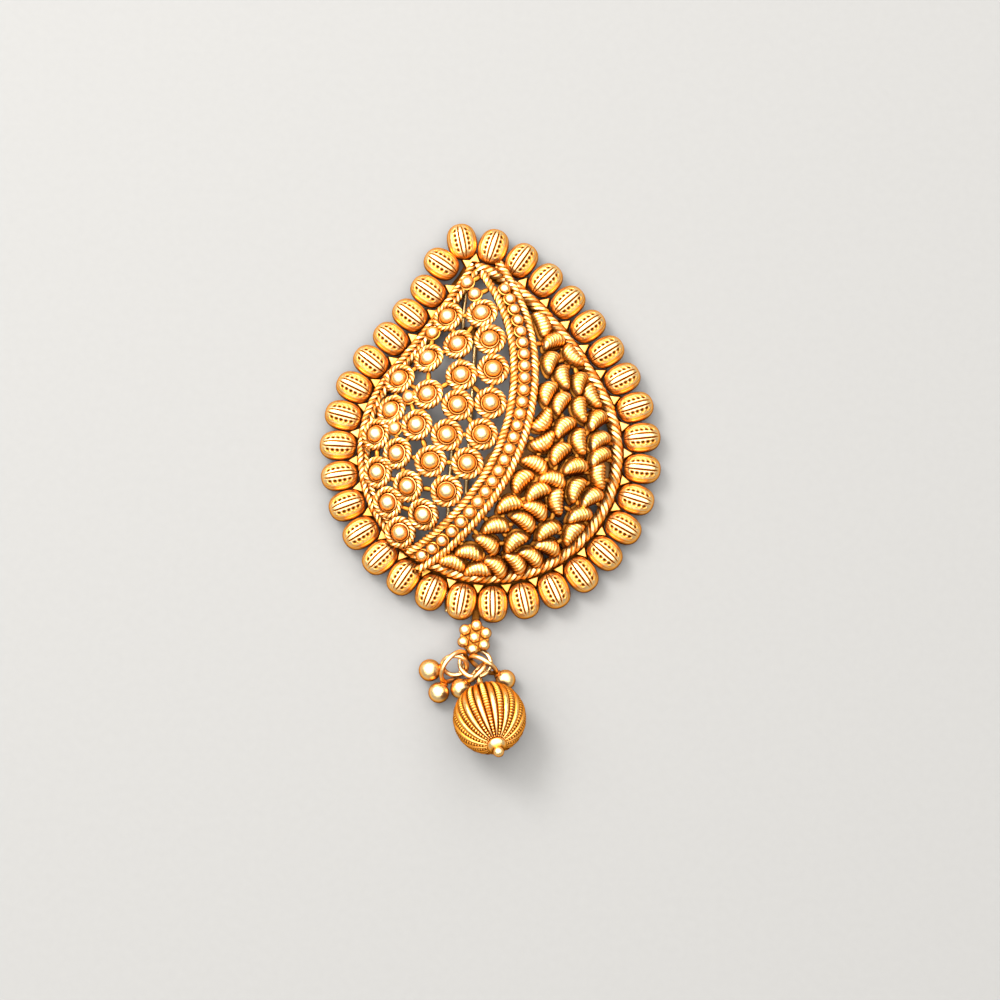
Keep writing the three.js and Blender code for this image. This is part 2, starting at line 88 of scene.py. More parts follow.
# %% Directions, turns and nearest points
UP = Vector((0, 0, 1))


def clamp(value):
    return min(max(value, 0.0), 1.0)


def polar(radius, degrees, centre=(0, 0)):
    angle = math.radians(degrees)
    return Vector((centre[0] + radius * math.cos(angle), centre[1] + radius * math.sin(angle), 0))


def left_of(way):
    return Vector((-way.y, way.x, 0))


def shift(x=0, y=0, z=0):
    return Matrix.Translation((x, y, z))


def turn_about(axis, degrees):
    return Matrix.Rotation(math.radians(degrees), 4, axis)


def turned_to(way):
    """The matrix that turns the X axis to a level direction."""
    return Matrix.Rotation(math.atan2(way.y, way.x), 4, "Z")


def tree_of(points):
    """A tree that finds the nearest one of many points."""
    tree = KDTree(len(points))
    for i, point in enumerate(points):
        tree.insert(point, i)
    tree.balance()
    return tree


# %% [markdown]
# ## The leaf's outline
# The beads are strung along one line: a crown arc from the tip, a long shoulder, the round body
# and a slightly hollow flank back to the tip. It could be drawn as a Bezier curve, but arcs with
# named radii are easier to compare with the metal, so the line is stepped along those arcs and
# then measured by its own length. It runs clockwise, so outwards is on its left.

# %% A line that is measured along its length
class Line:
    """A line through points. Past its ends, an open line runs straight on."""

    def __init__(self, points, closed=False):
        self.points = points + points[:1] if closed else points
        self.closed = closed
        self.marks = [0.0]
        for start, end in zip(self.points, self.points[1:]):
            self.marks.append(self.marks[-1] + (end - start).length)
        self.length = self.marks[-1]

    def at(self, length):
        if self.closed:
            length %= self.length
        i = min(max(bisect(self.marks, length), 1), len(self.marks) - 1)
        share = (length - self.marks[i - 1]) / (self.marks[i] - self.marks[i - 1])
        return self.points[i - 1].lerp(self.points[i], share)

    def way(self, length, reach=0.3):
        return (self.at(length + reach) - self.at(length - reach)).normalized()


# %% The outline that the rim beads are strung on
BODY, SHOULDER, CROWN = 21.4, 53.5, 15.5
TIP_ANGLE, CROWN_ANGLE, SHOULDER_ANGLE, FLANK_ANGLE = 88.5, 50, 25.9, 140.3
FLANK_HOLLOW = 0.85
OUTLINE_STEP = 0.15
TIP_OVERLAP = 0.1  # an inset line's points that lie this much too near have crossed over at the tip


def arc(centre, radius, start, end):
    steps = round(math.radians(start - end) * radius / OUTLINE_STEP)
    return [polar(radius, start + (end - start) * i / steps, centre) for i in range(steps)]


def leaf_outline():
    shoulder = polar(BODY - SHOULDER, SHOULDER_ANGLE)
    crown = polar(SHOULDER - CROWN, CROWN_ANGLE, shoulder)
    points = arc(crown, CROWN, TIP_ANGLE, CROWN_ANGLE)
    points += arc(shoulder, SHOULDER, CROWN_ANGLE, SHOULDER_ANGLE)
    points += arc((0, 0), BODY, SHOULDER_ANGLE, FLANK_ANGLE - 360)
    foot, tip = polar(BODY, FLANK_ANGLE), polar(CROWN, TIP_ANGLE, crown)
    bow = (tip + foot) / 2 - left_of((tip - foot).normalized()) * FLANK_HOLLOW
    steps = round((tip - foot).length / OUTLINE_STEP)
    for i in range(steps):
        share = i / steps
        points.append(foot.lerp(bow, share).lerp(bow.lerp(tip, share), share))
    return Line(points, closed=True)


outline = leaf_outline()
outline_tree = tree_of(outline.points)


def inset_of(x, y):
    return outline_tree.find((x, y, 0))[2]


def inset_line(depth, start=0.0, end=1.0, step=0.3):
    """The outline drawn again further in, for a share of its length."""
    points = []
    count = round(outline.length * (end - start) / step)
    for i in range(count + 1 if end - start < 1 else count):
        length = outline.length * (start + (end - start) * i / count)
        inner = outline.at(length) - left_of(outline.way(length)) * depth
        if inset_of(inner.x, inner.y) > depth - TIP_OVERLAP:
            points.append(inner)
    return points


print("outline:", round(outline.length, 1), "mm")

# %% [markdown]
# ## The dome
# Both pierced fields and the band are soldered up over a low dome: its edge sits on the border
# and its middle is level. The height at a place depends on how far in from the outline it is. A
# real dome has no sharp ridge, so the height is averaged over the place and six neighbours. Each
# small form is made upright and then tilted to stand square on the dome.

# %% Height and tilt of the dome
DOME_EDGE_Z, DOME_EDGE_INSET, DOME_RISE, DOME_RUN, DOME_SMOOTHING = 3.2, 4.0, 4.5, 10.0, 2.2


def rise_at(x, y):
    climb = clamp((inset_of(x, y) - DOME_EDGE_INSET) / DOME_RUN)
    return DOME_RISE * math.sin(climb * math.pi / 2)


def dome_point(x, y):
    around = [Vector((x, y, 0))] + [polar(DOME_SMOOTHING, turn, (x, y)) for turn in range(0, 360, 60)]
    return Vector((x, y, DOME_EDGE_Z + sum(rise_at(p.x, p.y) for p in around) / len(around)))


def dome_normal(x, y, step=0.4):
    along_x = dome_point(x + step, y) - dome_point(x - step, y)
    along_y = dome_point(x, y + step) - dome_point(x, y - step)
    return along_x.cross(along_y).normalized()


def on_dome(x, y, spin=0):
    """The matrix that stands an upright form on the dome, spun round its own axis first."""
    tilt = UP.rotation_difference(dome_normal(x, y)).to_matrix().to_4x4()
    return Matrix.Translation(dome_point(x, y)) @ tilt @ turn_about("Z", spin)


print("top of the dome:", round(dome_point(0, 0).z, 2), "mm")

# %% [markdown]
# ## Forms, stamps and pieces
# A goldsmith casts or stamps one small form many times and solders the copies together. Here a
# form is made once with bmesh operators and kept as a mesh, and a stamp copies it into a piece.
# Every form carries one number of painted shade at each point: 0 on proud metal, which is left
# bright, 1 in grooves, gaps and undersides, where shade falls and the gold is painted dark. The finish
# reads it.

# %% Helpers for forms
# the name of the mesh attribute that holds each point's painted shade
PAINTED_SHADE_LAYER = "recess"


def new_form():
    form = bmesh.new()
    form.verts.layers.float.new(PAINTED_SHADE_LAYER)
    return form


def tint(form, rule):
    """Sets the painted shade of each point by a rule that reads its place."""
    layer = form.verts.layers.float[PAINTED_SHADE_LAYER]
    for vert in form.verts:
        vert[layer] = clamp(rule(vert.co))
    return form


def tone(form, recess):
    """Gives every point of a form the same painted shade."""
    return tint(form, lambda point: recess)


def kept(form):
    mesh = bpy.data.meshes.new("form")
    form.to_mesh(mesh)
    form.free()
    return mesh


def stamp(piece, form, place=Matrix()):
    before = len(piece.verts)
    piece.from_mesh(form)
    piece.verts.ensure_lookup_table()
    bmesh.ops.transform(piece, matrix=place, verts=piece.verts[before:])


# %% From forms to a finished piece
# how strongly shade is painted on sides and undersides
SIDE_TONE = 1.2


def paint_side_shade(piece):
    """Paints shade on what faces sideways and down, the more the steeper it faces."""
    piece.normal_update()
    layer = piece.verts.layers.float[PAINTED_SHADE_LAYER]
    for vert in piece.verts:
        vert[layer] = clamp(vert[layer] + SIDE_TONE * (1 - vert.normal.z) ** 2)


def finish_piece(name, piece, finish, nodes, sharp=55):
    bmesh.ops.transform(piece, matrix=to_part, verts=piece.verts)
    bmesh.ops.recalc_face_normals(piece, faces=piece.faces)
    paint_side_shade(piece)
    mesh = bpy.data.meshes.new(name)
    piece.to_mesh(mesh)
    piece.free()
    mesh.shade_smooth()
    mesh.set_sharp_from_angle(angle=math.radians(sharp))
    mesh.materials.append(finish)
    thing = bpy.data.objects.new(name, mesh)
    bpy.context.scene.collection.objects.link(thing)
    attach(thing, "root")
    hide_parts(*nodes)
    print(name, sum(len(face.vertices) - 2 for face in mesh.polygons), "triangles")


# %% [markdown]
# Two operators make nearly all the plain forms. `create_uvsphere` gives a ball, and `spin` turns
# a profile into a collar or a small circle into a wire ring. A twisted rope or a pin follows a
# free line, and there a curve with a round bevel does the sweeping before it becomes a mesh.

# %% Ball, turned form, hoop and wire
POLE_WELD = 1e-4


def ball(radius, sides, rings):
    form = new_form()
    bmesh.ops.create_uvsphere(form, u_segments=sides, v_segments=rings, radius=radius)
    return form


def top_lit_ball(radius, sides, rings, recess, top_brightening=1):
    """A ball whose painted shade is given at half its height and grows less towards its top, as a
    painted highlight.
    """
    return kept(tint(ball(radius, sides, rings), lambda point: recess - point.z * top_brightening))


def turned(profile, sides):
    """Spins a profile of radius and height round the Z axis."""
    form = new_form()
    points = [form.verts.new((radius, 0, height)) for radius, height in profile]
    lines = [form.edges.new(pair) for pair in zip(points, points[1:])]
    bmesh.ops.spin(form, geom=points + lines, axis=UP, angle=math.tau, steps=sides, use_merge=True)
    bmesh.ops.remove_doubles(form, verts=form.verts, dist=POLE_WELD)
    bmesh.ops.recalc_face_normals(form, faces=form.faces)
    return form


def hoop(radius, wire, sides, steps):
    """A wire ring that lies flat round the Z axis."""
    form = new_form()
    section = shift(radius) @ turn_about("X", 90)
    bmesh.ops.create_circle(form, segments=sides, radius=wire, matrix=section)
    bmesh.ops.spin(form, geom=form.verts[:] + form.edges[:], axis=UP, angle=math.tau,
                   steps=steps, use_merge=True)
    bmesh.ops.recalc_face_normals(form, faces=form.faces)
    return form


def wire(paths, radius, closed=False, smooth=False, fineness=1):
    """Sweeps a round wire along each list of points and returns it as a mesh."""
    curve = bpy.data.curves.new("wire", "CURVE")
    curve.dimensions = "3D"
    curve.bevel_depth = radius
    curve.bevel_resolution = fineness
    curve.use_fill_caps = True
    for path in paths:
        spline = curve.splines.new("NURBS" if smooth else "POLY")
        spline.points.add(len(path) - 1)
        for knot, point in zip(spline.points, path):
            knot.co = (*point, 1)
        spline.use_cyclic_u = closed
        if smooth:
            spline.use_endpoint_u = True
            spline.order_u = 4
            spline.resolution_u = 6
    holder = bpy.data.objects.new("wire", curve)
    mesh = bpy.data.meshes.new_from_object(holder)
    bpy.data.objects.remove(holder)
    bpy.data.curves.remove(curve)
    return mesh


# %% [markdown]
# ## Twisted rope
# Three round wires twisted together make most ropes on the brooch, and four the thick border.
# Their points are found by walking along the rope's middle line and turning a small arm round
# it. The wires overlap a little, as solder fills the twist. The nearer a point is to the middle
# line, the more shade is painted on it, as in the creases between the wires.

# %% The rope maker
STRANDS = {3: (0.5, 0.5), 4: (0.43, 0.57)}  # of the rope's radius: each wire's radius, and its arm
# painted shade in the creases between the wires, and how much of it is taken off everywhere
TWIST_TONE, TWIST_SHADE_CUT = 2.8, 0.1


def rope(line, radius, pitch, hand=1, strands=3, steps=12):
    """A form of wires twisted round a line. The pitch is the length of one full turn."""
    strand, arm = STRANDS[strands]
    turns = line.length / pitch
    if line.closed:
        turns = round(turns)
    count = round(turns * steps)
    middles, paths = [], [[] for _ in range(strands)]
    for i in range(count if line.closed else count + 1):
        length = line.length * i / count
        middle, way = line.at(length), line.way(length)
        side = way.cross(UP).normalized()
        above = side.cross(way)
        middles.append(middle)
        for j, path in enumerate(paths):
            angle = math.tau * (hand * turns * i / count + j / strands)
            path.append(middle + (side * math.cos(angle) + above * math.sin(angle)) * arm * radius)
    tree = tree_of(middles)
    form = new_form()
    form.from_mesh(wire(paths, strand * radius, closed=line.closed))
    return tint(form, lambda point: (1 - tree.find(point)[2] / radius) * TWIST_TONE - TWIST_SHADE_CUT)


# %% [markdown]
# ## Shader maths in Python
# Finishes are built from nodes. To write their maths as plain expressions, a small class wraps a
# socket and turns + - * into Math nodes, also when a number comes first. One method adds any
# other node: its settings come first, then the values or links of its sockets.

# %% Sockets that add Math nodes
class Value:
    def __init__(self, finish, socket):
        self.finish = finish
        self.socket = socket

    def maths(self, operation, left, right):
        return self.finish.node("Math", {"operation": operation}, {0: left, 1: right})

    def __add__(self, other):
        return self.maths("ADD", self, other)

    def __radd__(self, other):
        return self.maths("ADD", other, self)

    def __sub__(self, other):
        return self.maths("SUBTRACT", self, other)

    def __rsub__(self, other):
        return self.maths("SUBTRACT", other, self)

    def __mul__(self, other):
        return self.maths("MULTIPLY", self, other)

    def __rmul__(self, other):
        return self.maths("MULTIPLY", other, self)

    def clamped(self):
        return self.finish.node("Clamp", {}, {"Value": self})


class Finish:
    """A material that is built one node at a time."""

    def __init__(self, name):
        self.material = bpy.data.materials.new(name)
        self.material.use_nodes = True
        self.tree = self.material.node_tree
        self.tree.nodes.clear()

    def node(self, kind, settings=None, inputs=None, out=0):
        made = self.tree.nodes.new("ShaderNode" + kind)
        for key, value in (settings or {}).items():
            if key == "stops":
                self.set_stops(made.color_ramp, value)
            else:
                setattr(made, key, value)
        for key, value in (inputs or {}).items():
            if isinstance(value, Value):
                self.tree.links.new(value.socket, made.inputs[key])
            else:
                made.inputs[key].default_value = value
        return Value(self, made.outputs[out]) if made.outputs else None

    def set_stops(self, ramp, stops):
        while len(ramp.elements) < len(stops):
            ramp.elements.new(1)
        for element, (position, colour) in zip(ramp.elements, stops):
            element.position = position
            element.color = (*colour, 1)


# %% [markdown]
# ## Gold finishes
# Gold is painted bright and yellow where the metal stands proud, and painted orange-brown where
# shade falls: the painted shade of the forms drives that. Two soft noises break it up, so that no
# two balls are quite the same: a broad one for tone and a fine one for the grain of the cast
# metal, which also makes a slight bump. The melon ball has an antique finish, a little redder and
# smoother than the rest, the pin has a slightly duller gold, and the back plate's gold is painted
# brown, as painted shade for the shadow it lies in.

# %% The finish recipe
EDGE_TINT = (1.0, 0.5, 0.16, 1)  # the gold takes this colour where it is seen at a low angle
BROAD_SCALE, BROAD_TONE = 260.0, 0.25
GRAIN_SCALE, GRAIN_TONE, GRAIN_ROUGHNESS, GRAIN_STRENGTH = 2600.0, 0.12, 0.1, 0.6
FLANK_STOP, DEEP_STOP = 0.38, 0.92


def gold_finish(name, proud, flank, deep, polish, dullness, grain_depth):
    finish = Finish(name)
    recess = finish.node("Attribute", {"attribute_name": PAINTED_SHADE_LAYER}, out="Fac")
    place = finish.node("TexCoord", out="Object")
    broad = finish.node("TexNoise", {}, {"Vector": place, "Scale": BROAD_SCALE, "Detail": 2.0})
    grain = finish.node("TexNoise", {}, {"Vector": place, "Scale": GRAIN_SCALE, "Detail": 3.0})
    # the painted shade sets the colour, from bright gold through orange to dark brown, and the
    # roughness
    shade = (recess + (broad - 0.5) * BROAD_TONE + (grain - 0.5) * GRAIN_TONE).clamped()
    stops = [(0, proud), (FLANK_STOP, flank), (DEEP_STOP, deep)]
    colour = finish.node("ValToRGB", {"stops": stops}, {"Fac": shade})
    roughness = (shade * dullness + polish + (grain - 0.5) * GRAIN_ROUGHNESS).clamped()
    bump = finish.node("Bump", {}, {
        "Height": grain, "Strength": GRAIN_STRENGTH, "Distance": grain_depth * MM,
    })
    shader = finish.node("BsdfPrincipled", {}, {
        "Base Color": colour, "Roughness": roughness, "Metallic": 1.0, "Normal": bump,
        "Specular Tint": EDGE_TINT,
    })
    finish.node("OutputMaterial", {}, {"Surface": shader})
    print("finish:", name)
    return finish.material


# %% Three golds and the brown of the plate
bright_gold = gold_finish(
    "bright_gold", proud=(1.0, 0.75, 0.36), flank=(1.0, 0.41, 0.055), deep=(0.09, 0.02, 0.002),
    polish=0.3, dullness=0.3, grain_depth=0.05,
)
antique_gold = gold_finish(
    "antique_gold", proud=(1.0, 0.7, 0.28), flank=(1.0, 0.38, 0.045), deep=(0.12, 0.03, 0.003),
    polish=0.25, dullness=0.3, grain_depth=0.07,
)
brown_gold = gold_finish(
    "brown_gold", proud=(1.0, 0.72, 0.32), flank=(0.95, 0.42, 0.08), deep=(0.09, 0.022, 0.003),
    polish=0.28, dullness=0.3, grain_depth=0.06,
)
# the back plate's gold painted brown, as painted shade for the shadow it lies in under the brooch
plate_shade_brown = gold_finish(
    "plate_shade_brown", proud=(0.4, 0.2, 0.07), flank=(0.3, 0.14, 0.045), deep=(0.1, 0.04, 0.01),
    polish=0.5, dullness=0.2, grain_depth=0.08,
)

# %% [markdown]
# ## Rim beads
# Each rim bead is a hollow stamped oval. Its outer end is smooth. Over its back runs a raised rib
# between two grooves, with a row of small punched pits and two faint creases on each side. A
# sphere with its poles on the bead's long axis has edges that already run the way of the ribs, so
# its points are only pushed in. They are first drawn together over the back, where all the detail
# is.

# %% The bead's relief
BEAD_WIDTH, BEAD_LENGTH, BEAD_HEIGHT, BEAD_FULLNESS = 4.25, 5.18, 3.498, 2.3
GROOVE_ANGLE, GROOVE_WIDTH, GROOVE_DEPTH = 10, 5, 0.28
PIT_ANGLE, PIT_WIDTH, PIT_DEPTH, PIT_PITCH = 28, 10, 0.3, 0.7
CREASE_ANGLES, CREASE_WIDTH, CREASE_DEPTH = (39, 54), 4, 0.1
# where the relief has faded out, as a share of the half length, and how steeply it fades
OUTER_END, OUTER_FADE = 0.86, 5
INNER_END, INNER_FADE = 0.97, 8
PIT_END, PIT_FADE = 0.72, 6


def hump(distance, width):
    """1 in the middle, and smoothly down to 0 at the given distance."""
    return 0.5 + 0.5 * math.cos(math.pi * min(abs(distance) / width, 1))


def bead_relief(angle, along):
    """Depth pressed into a bead, by degrees from the top of its back and share of its length."""
    ends = clamp((OUTER_END - along) * OUTER_FADE) * clamp((along + INNER_END) * INNER_FADE)
    groove = GROOVE_DEPTH * hump(abs(angle) - GROOVE_ANGLE, GROOVE_WIDTH)
    pits = hump(abs(angle) - PIT_ANGLE, PIT_WIDTH) * clamp((PIT_END - abs(along)) * PIT_FADE)
    beat = 0.5 + 0.5 * math.cos(math.tau * along * BEAD_LENGTH / 2 / PIT_PITCH)
    crease = sum(hump(abs(angle) - row, CREASE_WIDTH) for row in CREASE_ANGLES)
    return ends * (groove + PIT_DEPTH * pits * beat + CREASE_DEPTH * crease)


# %% The ribbed bead
GATHERING = 0.5  # how strongly the points are drawn together over the back
# painted shade in the pressed relief and on the bead's underside
BEAD_PRESS_TONE, BEAD_FOOT_TONE, BEAD_FOOT_FROM = 6, 0.8, 0.1


def fuller(along, around, fullness):
    """How far a ball's point moves out, in times its distance, to make the ball a fuller oval."""
    return (abs(along) ** fullness + around ** fullness) ** (-1 / fullness)


def ribbed_bead():
    form = ball(1, sides=64, rings=60)
    layer = form.verts.layers.float[PAINTED_SHADE_LAYER]
    for vert in form.verts:
        along, across = vert.co.z, math.hypot(vert.co.x, vert.co.y)
        turn = math.atan2(vert.co.x, vert.co.y)
        turn -= GATHERING * math.sin(turn)
        depth = bead_relief(math.degrees(turn), along)
        full = fuller(along, across, BEAD_FULLNESS)
        size = (1 - depth / (BEAD_HEIGHT / 2)) * across * full
        vert.co = (
            math.sin(turn) * size * BEAD_WIDTH / 2,
            along * full * BEAD_LENGTH / 2,
            math.cos(turn) * size * BEAD_HEIGHT / 2,
        )
        foot = clamp(BEAD_FOOT_FROM - math.cos(turn) * across)
        vert[layer] = clamp(depth * BEAD_PRESS_TONE + BEAD_FOOT_TONE * foot)
    return kept(form)


# %% Every bead in its place
TIP_BEAD, TIP_LEAN = "rim_bead_01", 11  # it leans by so many degrees, where the line has its corner

bead_form = ribbed_bead()
bead_middles, bead_lengths = [], []
for name in sorted(name for name in frame["nodes"] if name.startswith("rim_bead")):
    low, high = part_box(name)
    middle = ((low + high) / 2 - body_middle) / MM
    length = outline.marks[outline_tree.find((middle.x, middle.y, 0))[1]]
    bead_middles.append(middle)
    bead_lengths.append(length)
    turn = turn_about("Z", TIP_LEAN) if name == TIP_BEAD else turned_to(outline.way(length))
    bead = new_form()
    stamp(bead, bead_form, Matrix.Translation(middle) @ turn)
    finish_piece("ribbed_" + name[4:], bead, bright_gold, [name])
bead_lengths[0] = 0.0  # the bead at the tip sits where the outline starts

# %% [markdown]
# ## Frame
# The flat strip that carries the beads is nearly hidden. Only its little triangular plates show,
# one between each two beads, so the strip is a copy of its solid, and the plates are three-sided
# cones with their tops cut off and their edges bevelled.

# %% One triangular plate
PLATE_RADIUS, PLATE_TOP_RADIUS, PLATE_INSET, PLATE_LOW, PLATE_HIGH = 1.3, 0.85, 2.3, 1.1, 1.9
PLATE_BEVEL, PLATE_TOP_FROM = 0.12, 0.2
# the strip and the plates' lower parts are painted darker than the plates' tops, as painted shade
STRIP_TONE, PLATE_TOP_TONE = 0.7, 0.3

plate = new_form()
bmesh.ops.create_cone(plate, cap_ends=True, segments=3, radius1=PLATE_RADIUS,
                      radius2=PLATE_TOP_RADIUS, depth=PLATE_HIGH - PLATE_LOW)
bmesh.ops.bevel(plate, geom=plate.edges[:], offset=PLATE_BEVEL, affect="EDGES", segments=2,
                profile=0.5, material=-1)
tint(plate, lambda point: STRIP_TONE if point.z < PLATE_TOP_FROM else PLATE_TOP_TONE)
corner = max(plate.verts, key=lambda vert: vert.co.xy.length).co
swing = -math.atan2(corner.y, corner.x)
bmesh.ops.rotate(plate, cent=(0, 0, 0), matrix=Matrix.Rotation(swing, 3, "Z"), verts=plate.verts)
plate_form = kept(plate)

# %% Strip, with a plate between each two beads
SOLID_WELD = 1e-6  # in metres: it joins the solid's loose triangles

flat = new_form()
flat.from_mesh(frame["nodes"]["frame"].data)
bmesh.ops.remove_doubles(flat, verts=flat.verts, dist=SOLID_WELD)
bmesh.ops.transform(flat, matrix=to_part.inverted(), verts=flat.verts)
# A stamp finds its points at the end of the piece, so the piece must have no gaps from welding,
# and the welded strip is stamped into a new one.
strip = new_form()
stamp(strip, kept(tone(flat, STRIP_TONE)))
for start, end in zip(bead_lengths, bead_lengths[1:] + [outline.length]):
    halfway = (start + end) / 2
    out = left_of(outline.way(halfway))
    foot = outline.at(halfway) - out * PLATE_INSET + UP * (PLATE_LOW + PLATE_HIGH) / 2
    stamp(strip, plate_form, Matrix.Translation(foot) @ turned_to(out))
finish_piece("rim_strip", strip, bright_gold, ["frame"], sharp=40)

# %% [markdown]
# ## Border rope
# From the tip round the right side and below, the border is one thick rope. Up the left flank it
# is two thinner ropes side by side, twisted opposite ways, which gives a herringbone.

# %% Thick rope and herringbone
BORDER_Z, BORDER_INSET, BORDER_RADIUS, BORDER_PITCH = 2.2, 3.68, 0.88, 3.7
FLANK_START = 0.645  # share of the outline, clockwise from the tip
FINE_RADIUS, FINE_PITCH, FINE_OFFSET = 0.54, 2.3, 0.46


def border_line(depth, start, end):
    return Line([point + UP * BORDER_Z for point in inset_line(depth, start, end)])


border = new_form()
thick = border_line(BORDER_INSET, 0, FLANK_START)
stamp(border, kept(rope(thick, BORDER_RADIUS, BORDER_PITCH, strands=4, steps=20)))
for side in (-1, 1):
    flank = border_line(BORDER_INSET + side * FINE_OFFSET, FLANK_START, 1)
    stamp(border, kept(rope(flank, FINE_RADIUS, FINE_PITCH, hand=side)))
finish_piece("border_twist", border, bright_gold, ["border_rope"])

# %% [markdown]
# ## Ringed balls
# The left field is made of polished balls, each in a thin collar inside a ring of twisted rope,
# over a dished base that is painted dark as shade. These four forms are stamped together once, and
# that one flower is set on the dome at each place. The places are rows round the centre of the
# diagonal band. Small bridges of solder join each flower to its neighbours, and the outer ones to
# the border and to the band.

# %% One ringed ball and one small ball
RING_MIDDLE, RING_RADIUS, RING_TURNS, RING_LIFT = 1.85, 0.48, 6, 0.15
FLOWER_BASE = [(0, 0.1), (1.2, 0.1), (1.85, -0.1), (1.7, -0.3), (0, -0.3)]
# painted shade on the collars and balls, the balls painted lighter towards their tops
COLLAR_RADIUS, COLLAR_WIRE, COLLAR_LIFT, COLLAR_TONE = 1.23, 0.1, 0.25, 0.2
FLOWER_BALL, FLOWER_BALL_LIFT, FLOWER_BALL_TONE, FLOWER_BALL_TOP_BRIGHTENING = 1.14, 0.32, 0.45, 1.5
SMALL_COLLAR_WIRE, SMALL_COLLAR_DROP, SMALL_COLLAR_TONE, SMALL_BALL_TONE = 0.14, 0.2, 0.3, 0.4


def circle_line(radius, height, steps=96):
    return Line([polar(radius, -360 * i / steps) + UP * height for i in range(steps)], closed=True)


def ringed_ball():
    form = new_form()
    ring_line = circle_line(RING_MIDDLE, RING_LIFT)
    stamp(form, kept(rope(ring_line, RING_RADIUS, ring_line.length / RING_TURNS)))
    # the base is painted fully dark, as the shade under the ball
    stamp(form, kept(tone(turned(FLOWER_BASE, 20), 1.0)))
    collar = kept(tone(hoop(COLLAR_RADIUS, COLLAR_WIRE, 6, 24), COLLAR_TONE))
    stamp(form, collar, shift(z=COLLAR_LIFT))
    top = top_lit_ball(FLOWER_BALL, 24, 16, FLOWER_BALL_TONE, FLOWER_BALL_TOP_BRIGHTENING)
    stamp(form, top, shift(z=FLOWER_BALL_LIFT))
    return kept(form)


def small_ball(radius, lift):
    form = new_form()
    collar = kept(tone(hoop(radius, SMALL_COLLAR_WIRE, 6, 20), SMALL_COLLAR_TONE))
    stamp(form, collar, shift(z=lift - SMALL_COLLAR_DROP))
    stamp(form, top_lit_ball(radius, 18, 12, SMALL_BALL_TONE), shift(z=lift))
    return kept(form)


# %% Solder between neighbours
BAND_CENTRE = (-24.6, 10.3)
BAND_RADIUS, BAND_ROPE_OFFSET, BAND_ROPE_RADIUS = 29.3, 1.42, 0.62
BRIDGE_GAP, BRIDGE_OVERLAP = 1.4, 0.4
# the solder is painted darker, as painted shade low between the forms
BRIDGE_HALF_WIDTH, BRIDGE_HALF_HEIGHT, BRIDGE_TONE = 0.4, 0.28, 0.65


def ropes_near(point):
    """Where the border and the nearer rope of the band pass a point, with the reach of each."""
    flat = Vector((point.x, point.y, 0))
    edge = outline_tree.find(flat)[0]
    border_place = edge + (flat - edge).normalized() * BORDER_INSET + UP * BORDER_Z
    centre = Vector((*BAND_CENTRE, 0))
    arm = flat - centre
    side = math.copysign(BAND_ROPE_OFFSET, arm.length - BAND_RADIUS)
    rope_place = centre + arm.normalized() * (BAND_RADIUS + side)
    on_band = dome_point(rope_place.x, rope_place.y)
    return [(border_place, BORDER_RADIUS), (on_band, BAND_ROPE_RADIUS)]


def solder_bridges(piece, places, drop=0.0):
    """A low run of solder from each place to the forms and ropes that its own form nearly touches."""
    blob = kept(tone(ball(1, 10, 6), BRIDGE_TONE))
    points = [(dome_point(place.x, place.y), reach) for place, reach in places]
    for i, (point, reach) in enumerate(points):
        for other, other_reach in points[:i] + ropes_near(point):
            way = other - point
            gap = way.length - reach - other_reach
            if gap < BRIDGE_GAP:
                middle = point + way.normalized() * (reach + gap / 2) - UP * drop
                turn = way.to_track_quat("X", "Z").to_matrix().to_4x4()
                half_length = max(gap, 0) / 2 + BRIDGE_OVERLAP
                size = Matrix.Diagonal((half_length, BRIDGE_HALF_WIDTH, BRIDGE_HALF_HEIGHT, 1))
                stamp(piece, blob, Matrix.Translation(middle) @ turn @ size)


# %% The left field
# each row: its radius round the centre of the band, and the angles of its balls
FLOWER_ROWS = [
    (25.0, [20.5, 11, 1, -10, -20.5, -31, -42, -52, -61]),
    (20.6, [25, 12, -1, -13, -25.5, -37.5, -50, -59.5]),
    (16.2, [9, -10.5, -27, -43.5, -56.5]),
    (11.9, [-1, -24, -43]),
]
SMALL_BALL_ROWS = [(25.4, [32.5, 27.5]), (17.8, [21]), (13.8, [-13.5, -33.5])]
FLOWER_REACH, FLOWER_SPIN = 2.25, 37  # each flower is spun further, so their twists don't line up
SMALL_RADIUS, SMALL_LIFT = 0.95, 0.35


def row_places(rows, reach):
    return [(polar(radius, angle, BAND_CENTRE), reach) for radius, angles in rows for angle in angles]


flowers = row_places(FLOWER_ROWS, FLOWER_REACH)
small_balls = row_places(SMALL_BALL_ROWS, SMALL_RADIUS)
field = new_form()
flower_form, small_form = ringed_ball(), small_ball(SMALL_RADIUS, SMALL_LIFT)
for i, (place, _) in enumerate(flowers):
    stamp(field, flower_form, on_dome(place.x, place.y, spin=FLOWER_SPIN * i))
for place, _ in small_balls:
    stamp(field, small_form, on_dome(place.x, place.y))
solder_bridges(field, flowers + small_balls)
print("left field:", len(flowers), "ringed balls and", len(small_balls), "small ones")
finish_piece("ringed_balls", field, bright_gold, ["flower_field"])

# %% [markdown]
# ## The band
# The diagonal band is a row of collared balls on small discs between two fine ropes. All three
# follow arcs round the same centre, over the dome.

# %% Ropes of the band
BAND_ROPE_PITCH, BAND_ROPE_LIFT = 2.1, 0.25
ROPE_FROM, ROPE_TO = 33, -62


def dome_line(radius, lift, start, end, steps=120):
    points = []
    for i in range(steps + 1):
        place = polar(radius, start + (end - start) * i / steps, BAND_CENTRE)
        points.append(dome_point(place.x, place.y) + dome_normal(place.x, place.y) * lift)
    return Line(points)


